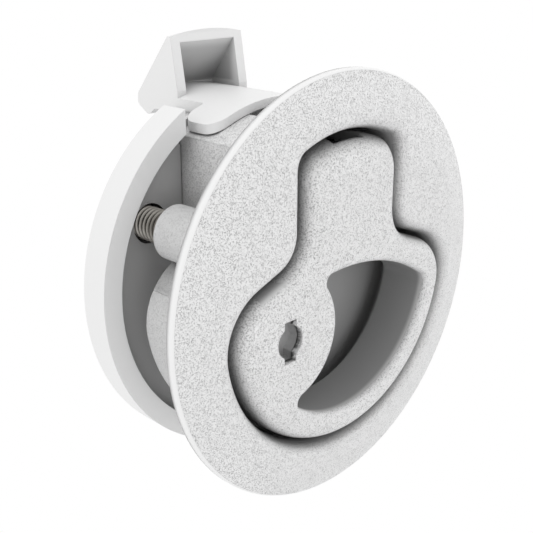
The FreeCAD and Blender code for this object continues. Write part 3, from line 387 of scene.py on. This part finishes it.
def metal(name, colour, roughness, fineness, stretch, groove=None):
    """Plated, drawn or turned metal with fine marks and a little tarnish."""
    tarnished, mark_gloss, mark_strength, mark_relief = 0.72, 0.25, 0.3, 0.03 * MM
    # A near-black tone laid on the root of the screw's thread.
    thread_root_dark = (0.05, 0.045, 0.04, 1)
    material, tree, shader = new_material(name)
    marks = place_group(tree, METAL_MARKS, Stretch=stretch, Fineness=fineness)
    dull = tuple(part * tarnished for part in colour[:3]) + (1,)
    tone = blend_colours(tree, marks.outputs["Tarnish"], colour, dull)
    if groove:
        across, depth, up = object_axes(tree)
        tone = blend_colours(tree, groove(tree, across, up), tone, thread_root_dark)
    tree.links.new(tone, shader.inputs["Base Color"])
    shader.inputs["Metallic"].default_value = 1.0
    gloss = calculate(tree, "ADD", calculate(tree, "MULTIPLY", marks.outputs["Marks"], mark_gloss), roughness)
    tree.links.new(gloss, shader.inputs["Roughness"])
    bump(tree, marks.outputs["Marks"], mark_strength, mark_relief, shader)
    return material


def thread_groove(tree, across, up):
    """Darker towards the root of the screw's thread."""
    root_radius, flank_radius = 2.05 * MM, 2.42 * MM
    aside = calculate(tree, "SUBTRACT", distance_aside(tree, across), SCREW_ASIDE * MM)
    radius = radius_from(tree, aside, calculate(tree, "SUBTRACT", up, SCREW_UP * MM))
    return fall(tree, radius, root_radius, flank_radius)


def dress_nodes(material, *nodes):
    for node in nodes:
        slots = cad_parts[node].data.materials
        slots.clear()
        slots.append(material)


# Modelling helpers.
def deselect():
    bpy.ops.object.select_all(action="DESELECT")


def pick(piece):
    """Select one piece alone and make it the active one."""
    deselect()
    piece.select_set(True)
    bpy.context.view_layer.objects.active = piece


def open_mesh(piece):
    """Open a piece in edit mode with its whole mesh selected."""
    pick(piece)
    bpy.ops.object.mode_set(mode="EDIT")
    bpy.ops.mesh.select_all(action="SELECT")


def close_mesh():
    bpy.ops.object.mode_set(mode="OBJECT")


def apply_modifiers(piece):
    bpy.context.view_layer.objects.active = piece
    for modifier in list(piece.modifiers):
        bpy.ops.object.modifier_apply(modifier=modifier.name)


def cut_with(piece, tool, operation):
    """Cut, or keep, what a piece shares with a tool, which is used up."""
    cut = piece.modifiers.new("cut", "BOOLEAN")
    cut.operation = operation
    cut.object = tool
    cut.solver = "EXACT"
    apply_modifiers(piece)
    bpy.data.objects.remove(tool)


def finish_mesh(piece, angle):
    """Merge doubles, turn the faces outwards, smooth by angle and set the place into the mesh."""
    merge_distance, sliver = 0.004 * MM, 0.01 * MM
    open_mesh(piece)
    bpy.ops.mesh.remove_doubles(threshold=merge_distance)
    bpy.ops.mesh.dissolve_degenerate(threshold=sliver)
    bpy.ops.mesh.quads_convert_to_tris()
    bpy.ops.mesh.normals_make_consistent(inside=False)
    close_mesh()
    bpy.ops.object.shade_smooth_by_angle(angle=math.radians(angle))
    bpy.ops.object.transform_apply(location=True, rotation=True, scale=True)


# The clamp screws, each a threaded rod with a pan head.
def thread_rod(across, tip, length, up):
    """One pitch of the thread drawn as a chain of points, then wound up the shank."""
    pitch, root_radius, height, steps_a_turn = 0.8 * MM, 2.02 * MM, 0.46 * MM, 36
    flank, crest, root = 0.32 * pitch, 0.12 * pitch, 0.24 * pitch
    deselect()
    bpy.ops.mesh.primitive_plane_add(size=1 * MM, location=(across * MM, tip * MM, up * MM))
    rod = bpy.context.object
    bpy.ops.object.mode_set(mode="EDIT")
    bpy.ops.mesh.merge(type="CENTER")
    bpy.ops.transform.translate(value=(root_radius, 0, 0))
    for out, along in ((height, flank), (0, crest), (-height, flank), (0, root)):
        bpy.ops.mesh.extrude_region_move(TRANSFORM_OT_translate={"value": (out, along, 0)})
    close_mesh()
    winding = rod.modifiers.new("winding", "SCREW")
    winding.axis = "Y"
    winding.steps = steps_a_turn
    winding.render_steps = steps_a_turn
    winding.screw_offset = pitch
    winding.iterations = round(length * MM / pitch)
    winding.use_merge_vertices = True
    apply_modifiers(rod)
    open_mesh(rod)
    bpy.ops.mesh.remove_doubles(threshold=SAME_POINT)
    bpy.ops.mesh.select_all(action="DESELECT")
    bpy.ops.mesh.select_non_manifold()
    bpy.ops.mesh.fill()
    close_mesh()
    return rod


def pan_head(across, seat, up):
    """A low round head with a rolled edge and a cross sunk in it."""
    radius, height, sides = 4.6, 3.2, 64
    roll, steps, sharp = 1.2, 6, math.radians(60)
    cross_length, cross_width = 4.6, 1.1
    deselect()
    bpy.ops.mesh.primitive_cylinder_add(
        vertices=sides, radius=radius * MM, depth=height * MM,
        location=(across * MM, (seat + height / 2) * MM, up * MM), rotation=(-math.pi / 2, 0, 0))
    head = bpy.context.object
    rolled = head.modifiers.new("rolled_edge", "BEVEL")
    rolled.width = roll * MM
    rolled.segments = steps
    rolled.limit_method = "ANGLE"
    rolled.angle_limit = sharp
    apply_modifiers(head)
    for wide, tall in ((cross_length, cross_width), (cross_width, cross_length)):
        deselect()
        bpy.ops.mesh.primitive_cube_add(size=1, location=(across * MM, (seat + height) * MM, up * MM),
                                        scale=(wide * MM, height * MM, tall * MM))
        cut_with(head, bpy.context.object, "DIFFERENCE")
    return head


def machine_screw(name, node, across, material):
    shank_length, smooth_angle = 16.0, 35
    rod = thread_rod(across, SCREW_TIP, shank_length, SCREW_UP)
    head = pan_head(across, SCREW_SEAT, SCREW_UP)
    pick(rod)
    head.select_set(True)
    bpy.ops.object.join()
    rod.name = name
    finish_mesh(rod, smooth_angle)
    rod.data.materials.clear()
    rod.data.materials.append(material)
    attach(rod, "housing_body")
    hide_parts(node)


# The lever and the housing as they show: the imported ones, with the lever's outer edge rounded fully down into
# the pocket and the pocket's mouth rolled over to meet it.
def keyhole_ring(grow, crown_grow, corner):
    """Points of the keyhole outline, grown or shrunk in parallel, as (across, up) in metres."""
    lobe, reach = 23.3 + grow, 10.8 + grow
    convex, concave = 7.7 + grow, 5.7 - grow
    neck, top = 10.35 + grow, 23.5 + crown_grow
    tilt, quarter = math.radians(21), math.pi / 2
    lobe_steps, convex_steps, concave_steps, corner_steps, top_steps = 140, 14, 20, 12, 40
    lift, spare = reach - convex, lobe - convex
    along = math.sqrt(spare ** 2 - lift ** 2)
    shoulder = (math.sin(tilt) * lift + math.cos(tilt) * along,
                math.cos(tilt) * lift - math.sin(tilt) * along)
    shoulder_angle = math.atan2(shoulder[1], shoulder[0])
    inner = neck + concave
    root = (inner, (reach + concave - math.sin(tilt) * inner) / math.cos(tilt))
    aside = neck - corner
    turn = (aside, math.sqrt((top - corner) ** 2 - aside ** 2))
    turn_end = math.atan2(turn[1], turn[0])
    spans = [
        ((0, 0), lobe, -quarter, shoulder_angle, lobe_steps),
        (shoulder, convex, shoulder_angle, quarter - tilt, convex_steps),
        (root, concave, 3 * quarter - tilt, math.pi, concave_steps),
        (turn, corner, 0, turn_end, corner_steps),
        ((0, 0), top, turn_end, quarter, top_steps),
    ]
    points = []
    for centre, radius, start, end, steps in spans:
        for i in range(steps + 1):
            angle = start + (end - start) * i / steps
            points.append((centre[0] + radius * math.cos(angle), centre[1] + radius * math.sin(angle)))
    left = [(-x, z) for x, z in reversed(points[1:-1])]
    return [(x * MM, z * MM) for x, z in points + left]


def lofted(name, sections):
    """A closed solid through keyhole rings, each given as depth, inset, crown inset and corner radius."""
    rings = [[(x, depth * MM, z) for x, z in keyhole_ring(-inset, -crown, corner)]
             for depth, inset, crown, corner in sections]
    count = len(rings[0])
    points = [point for ring in rings for point in ring]
    faces = [tuple(range(count)), tuple(reversed(range(len(points) - count, len(points))))]
    for level in range(len(rings) - 1):
        low = level * count
        for i in range(count):
            j = (i + 1) % count
            faces.append((low + i, low + count + i, low + count + j, low + j))
    mesh = bpy.data.meshes.new(name)
    mesh.from_pydata(points, [], faces)
    body = bpy.data.objects.new(name, mesh)
    scene.collection.objects.link(body)
    open_mesh(body)
    bpy.ops.mesh.remove_doubles(threshold=SAME_POINT)
    bpy.ops.mesh.normals_make_consistent(inside=False)
    close_mesh()
    return body


def quarter_turn(steps):
    """Rise and run, from 0 to 1, at each step of a rounded edge that stops just short of square."""
    last_angle = math.radians(89)
    for step in range(steps + 1):
        angle = last_angle * step / steps
        yield 1 - math.sin(angle), 1 - math.cos(angle)


def copy_of(node, name):
    """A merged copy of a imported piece, to be finished further."""
    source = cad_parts[node]
    piece = source.copy()
    piece.data = source.data.copy()
    piece.name = name
    scene.collection.objects.link(piece)
    open_mesh(piece)
    bpy.ops.mesh.remove_doubles(threshold=SAME_POINT)
    close_mesh()
    return piece


def level_flat_faces(mesh):
    """Faces square to the depth are flat, so they are shaded as flat right up to their rounded edges."""
    square = 0.99999
    normals = [corner.vector.copy() for corner in mesh.corner_normals]
    for face in mesh.polygons:
        if abs(face.normal.y) > square:
            for corner in face.loop_indices:
                normals[corner] = face.normal.copy()
    mesh.normals_split_custom_set(normals)


def stand_in(piece, node, body):
    """Finish the mesh, shade its large faces evenly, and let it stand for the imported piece."""
    smooth_angle = 30
    finish_mesh(piece, smooth_angle)
    even = piece.modifiers.new("even_shading", "WEIGHTED_NORMAL")
    even.mode = "FACE_AREA_WITH_ANGLE"
    even.keep_sharp = True
    apply_modifiers(piece)
    level_flat_faces(piece.data)
    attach(piece, body)
    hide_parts(node)


def rounded_lever():
    """The lever with its outer edge rounded fully down into the pocket."""
    front, back, gap, turn, steps = -3.78, 24.0, 0.65, 3.0, 18
    slack, skirt_start, skirt_corner = gap - 0.3, 0.4, 5.0
    skin, crown_turn, round_corner, overshoot = 0.04, 1.6, 4.7, 0.5
    sections = [(depth, slack, slack, skirt_corner) for depth in (back, front + turn + skirt_start)]
    for rise_part, run_part in quarter_turn(steps):
        inset = turn * run_part + skin
        depth = front + turn * rise_part
        sections.append((depth, gap + inset, gap + inset * crown_turn, round_corner - inset))
    sections.append((front - overshoot,) + sections[-1][1:])
    lever = copy_of("pull_lever", "rounded_pull_lever")
    cut_with(lever, lofted("lever_envelope", sections), "INTERSECT")
    stand_in(lever, "pull_lever", "lever_body")


def flared_housing():
    """The housing with the mouth of its pocket rolled over further."""
    face, width, depth, steps = -3.03, 1.9, 3.0, 16
    skin, mouth_corner, overshoot = 0.01, 2.0, 1.0
    sections = []
    for rise_part, run_part in quarter_turn(steps):
        grow = width * run_part - skin
        sections.append((face + depth * rise_part, -grow, -grow, mouth_corner + grow))
    sections.append((face - overshoot,) + sections[-1][1:])
    housing = copy_of("flange_housing", "flared_flange_housing")
    cut_with(housing, lofted("mouth_flare", sections), "DIFFERENCE")
    stand_in(housing, "flange_housing", "housing_body")


# Plain studio: white world and soft lamps.
def add_world():
    backdrop_strength, ambient_strength = 1.0, 1.0
    world = bpy.data.worlds.new("studio_world")
    scene.world = world
    world.use_nodes = True
    tree = world.node_tree
    tree.nodes.clear()
    rays = tree.nodes.new("ShaderNodeLightPath").outputs
    seen = calculate(tree, "ADD", calculate(tree, "ADD", rays["Is Camera Ray"], rays["Is Glossy Ray"]),
                     rays["Is Transmission Ray"])
    mix = tree.nodes.new("ShaderNodeMixShader")
    tree.links.new(calculate(tree, "MINIMUM", seen, 1.0), mix.inputs[0])
    for socket, strength in ((1, ambient_strength), (2, backdrop_strength)):
        light = tree.nodes.new("ShaderNodeBackground")
        light.inputs["Color"].default_value = WHITE
        light.inputs["Strength"].default_value = strength
        tree.links.new(light.outputs[0], mix.inputs[socket])
    output = tree.nodes.new("ShaderNodeOutputWorld")
    tree.links.new(mix.outputs[0], output.inputs[0])


def add_lamp(name, place, size, power):
    """A square soft lamp that points at the latch, its place and size in metres and its power in watts."""
    data = bpy.data.lights.new(name, "AREA")
    data.shape = "SQUARE"
    data.size = size
    data.energy = power
    lamp = bpy.data.objects.new(name, data)
    lamp.location = Vector(place)
    lamp.rotation_euler = (-lamp.location).to_track_quat("-Z", "Y").to_euler()
    scene.collection.objects.link(lamp)


add_camera()

PALE_GREY = (0.80, 0.80, 0.80, 1)
GRAINED_GREY = (0.83, 0.83, 0.83, 1)
housing_plastic = moulded_plastic(
    "housing_grained_plastic", GRAINED_GREY, roughness=0.48, edge=0.1 * MM,
    grained=housing_grained, painted_shade_mask=housing_painted_shade, painted_shade_tone=0.50)
lever_plastic = moulded_plastic(
    "lever_grained_plastic", GRAINED_GREY, roughness=0.48, edge=0.5 * MM,
    grained=lever_grained, painted_shade_mask=lever_painted_shade, painted_shade_tone=0.34, crease_painted_shade_share=0.62)
bolt_plastic = moulded_plastic(
    "bolt_smooth_plastic", PALE_GREY, roughness=0.34, edge=0.12 * MM,
    painted_shade_mask=bolt_painted_shade, painted_shade_tone=0.60)
cup_plastic = moulded_plastic(
    "cup_smooth_plastic", PALE_GREY, roughness=0.38, edge=0.06 * MM,
    painted_shade_mask=cup_painted_shade, painted_shade_tone=0.60)
dress_nodes(housing_plastic, "flange_housing")
dress_nodes(lever_plastic, "pull_lever")
dress_nodes(bolt_plastic, "slam_bolt")
dress_nodes(cup_plastic, "rear_cup")

plated_steel = metal("zinc_plated_steel", (0.60, 0.585, 0.56, 1), roughness=0.25, fineness=900.0,
                     stretch=(1, 6, 1))
threaded_steel = metal("threaded_steel", (0.66, 0.63, 0.58, 1), roughness=0.28, fineness=900.0,
                       stretch=(1, 1, 1), groove=thread_groove)
spring_wire = metal("drawn_spring_wire", (0.50, 0.50, 0.51, 1), roughness=0.25, fineness=1500.0,
                    stretch=(1, 1, 4))
turned_brass = metal("turned_brass", (0.72, 0.56, 0.28, 1), roughness=0.22, fineness=900.0,
                     stretch=(1, 8, 1))
cast_zinc = metal("cast_zinc_plug", (0.66, 0.66, 0.66, 1), roughness=0.45, fineness=900.0,
                  stretch=(1, 1, 1))
dress_nodes(plated_steel, "lever_pin", "bolt_pin", "cup_screw_left", "cup_screw_right",
            "screw_washer_left", "screw_washer_right", "lock_cam", "cam_screw")
dress_nodes(spring_wire, "lever_spring", "bolt_spring_left", "bolt_spring_right", "plug_ring")
dress_nodes(turned_brass, "boss_insert_left", "boss_insert_right")
dress_nodes(cast_zinc, "lock_plug")

machine_screw("threaded_screw_left", "cup_screw_left", -SCREW_ASIDE, threaded_steel)
machine_screw("threaded_screw_right", "cup_screw_right", SCREW_ASIDE, threaded_steel)
rounded_lever()
flared_housing()

add_world()
add_lamp("left_softbox", (-0.48, 0.02, 0.08), size=0.35, power=0.15)
add_lamp("right_softbox", (0.48, -0.05, 0.08), size=0.35, power=0.25)
add_lamp("top_softbox", (0.0, -0.08, 0.50), size=0.40, power=0.30)
scene.view_settings.view_transform = "Standard"
